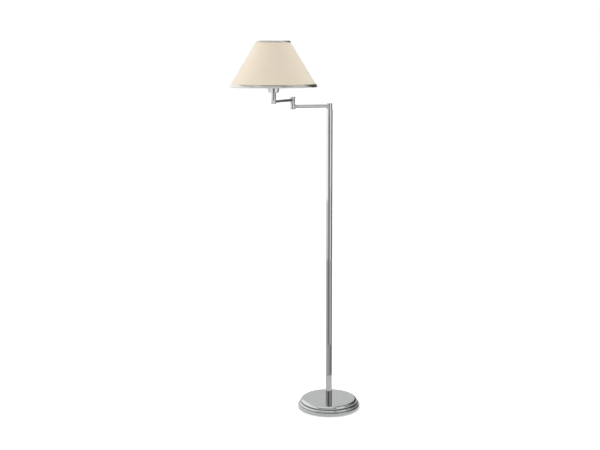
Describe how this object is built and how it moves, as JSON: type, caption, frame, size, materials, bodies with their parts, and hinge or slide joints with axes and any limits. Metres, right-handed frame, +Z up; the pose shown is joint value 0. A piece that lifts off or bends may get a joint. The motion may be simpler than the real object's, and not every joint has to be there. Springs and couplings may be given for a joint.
{
  "type": "bridge floor lamp",
  "caption": "Floor lamp on a weighted round foot, with a plain pole, swinging arms on an elbow, and a coolie shade over an upright lampholder.",
  "frame": {"origin": "middle of the foot's underside, on the floor, on the pole's axis", "axes": "+Z up along the pole; the first arm points along -X; the cable inlet faces +Y, the back"},
  "size_m": [0.5443, 0.3956, 1.4728],
  "materials": {
    "foot_chrome": "polished",
    "chrome": "polished",
    "cast_iron": "rough, black varnish",
    "felt": "felt",
    "black_plate": "satin black",
    "zinc_steel": "zinc plated",
    "brass": "bright",
    "nylon": "natural nylon",
    "flex": "pale insulation",
    "black_plastic": "moulded, fine grain",
    "white_plastic": "moulded",
    "ceramic": "fired, unglazed",
    "frame_wire": "white coated wire",
    "shade_cloth": "fine plain weave, cream",
    "shade_liner": "white laminate",
    "trim_metal": "polished thin sheet",
    "opal_glass": "opal",
    "bulb_cap": "rolled screw cap"
  },
  "bodies": {
    "stand": {"foot_cover": "foot_chrome", "foot_weight": "cast_iron", "felt_pad": "felt", "closing_plate": "black_plate", "plate_screws": "zinc_steel", "cable_grommet": "black_plastic", "foot_nipple": "brass", "foot_washer": "zinc_steel", "foot_nut": "zinc_steel", "terminal_block": "white_plastic", "terminal_screw": "zinc_steel", "pole": "chrome", "pole_foot_plug": "brass", "pole_head": "chrome", "pole_pivot": "zinc_steel", "pole_glide_washer": "nylon", "pole_ring_nut": "brass", "pole_stop_pin": "zinc_steel", "pole_bush": "nylon", "stand_flex": "flex"},
    "first_arm": {"pole_knuckle": "chrome", "knuckle_cap": "chrome", "arm_1_tube": "chrome", "arm_1_pole_saddle": "chrome", "arm_1_elbow_saddle": "chrome", "elbow_lower_barrel": "chrome", "elbow_lower_cap": "chrome", "elbow_spindle": "zinc_steel", "elbow_glide_washer": "nylon", "elbow_ring_nut": "brass", "elbow_stop_pin": "zinc_steel", "elbow_bush": "nylon", "arm_1_flex": "flex"},
    "second_arm": {"elbow_upper_barrel": "chrome", "elbow_upper_cap": "chrome", "arm_2_tube": "chrome", "arm_2_elbow_saddle": "chrome", "arm_2_post_saddle": "chrome", "post_barrel": "chrome", "post_cap": "chrome", "riser": "chrome", "post_nipple": "brass", "post_bush": "nylon", "arm_2_flex": "flex", "holder_cup": "chrome", "holder_body": "black_plastic", "holder_insert": "ceramic", "holder_contacts": "brass", "holder_skirt": "black_plastic", "shade_ring": "black_plastic", "shade_carrier": "frame_wire", "shade_lower_wire": "frame_wire", "shade_upper_wire": "frame_wire", "shade_cloth": "shade_cloth", "shade_liner": "shade_liner", "shade_lower_trim": "trim_metal", "shade_upper_trim": "trim_metal", "bulb_globe": "opal_glass", "bulb_cap": "bulb_cap"}
  },
  "joints": [
    {"name": "pole_swivel", "type": "hinge", "parent": "stand", "child": "first_arm", "pos_m": [0, 0, 1.2155], "axis": [0, 0, 1], "range_deg": [-165, 165]},
    {"name": "elbow_swivel", "type": "hinge", "parent": "first_arm", "child": "second_arm", "pos_m": [-0.15, 0, 1.23835], "axis": [0, 0, 1], "range_deg": [-210, 120]}
  ]
}
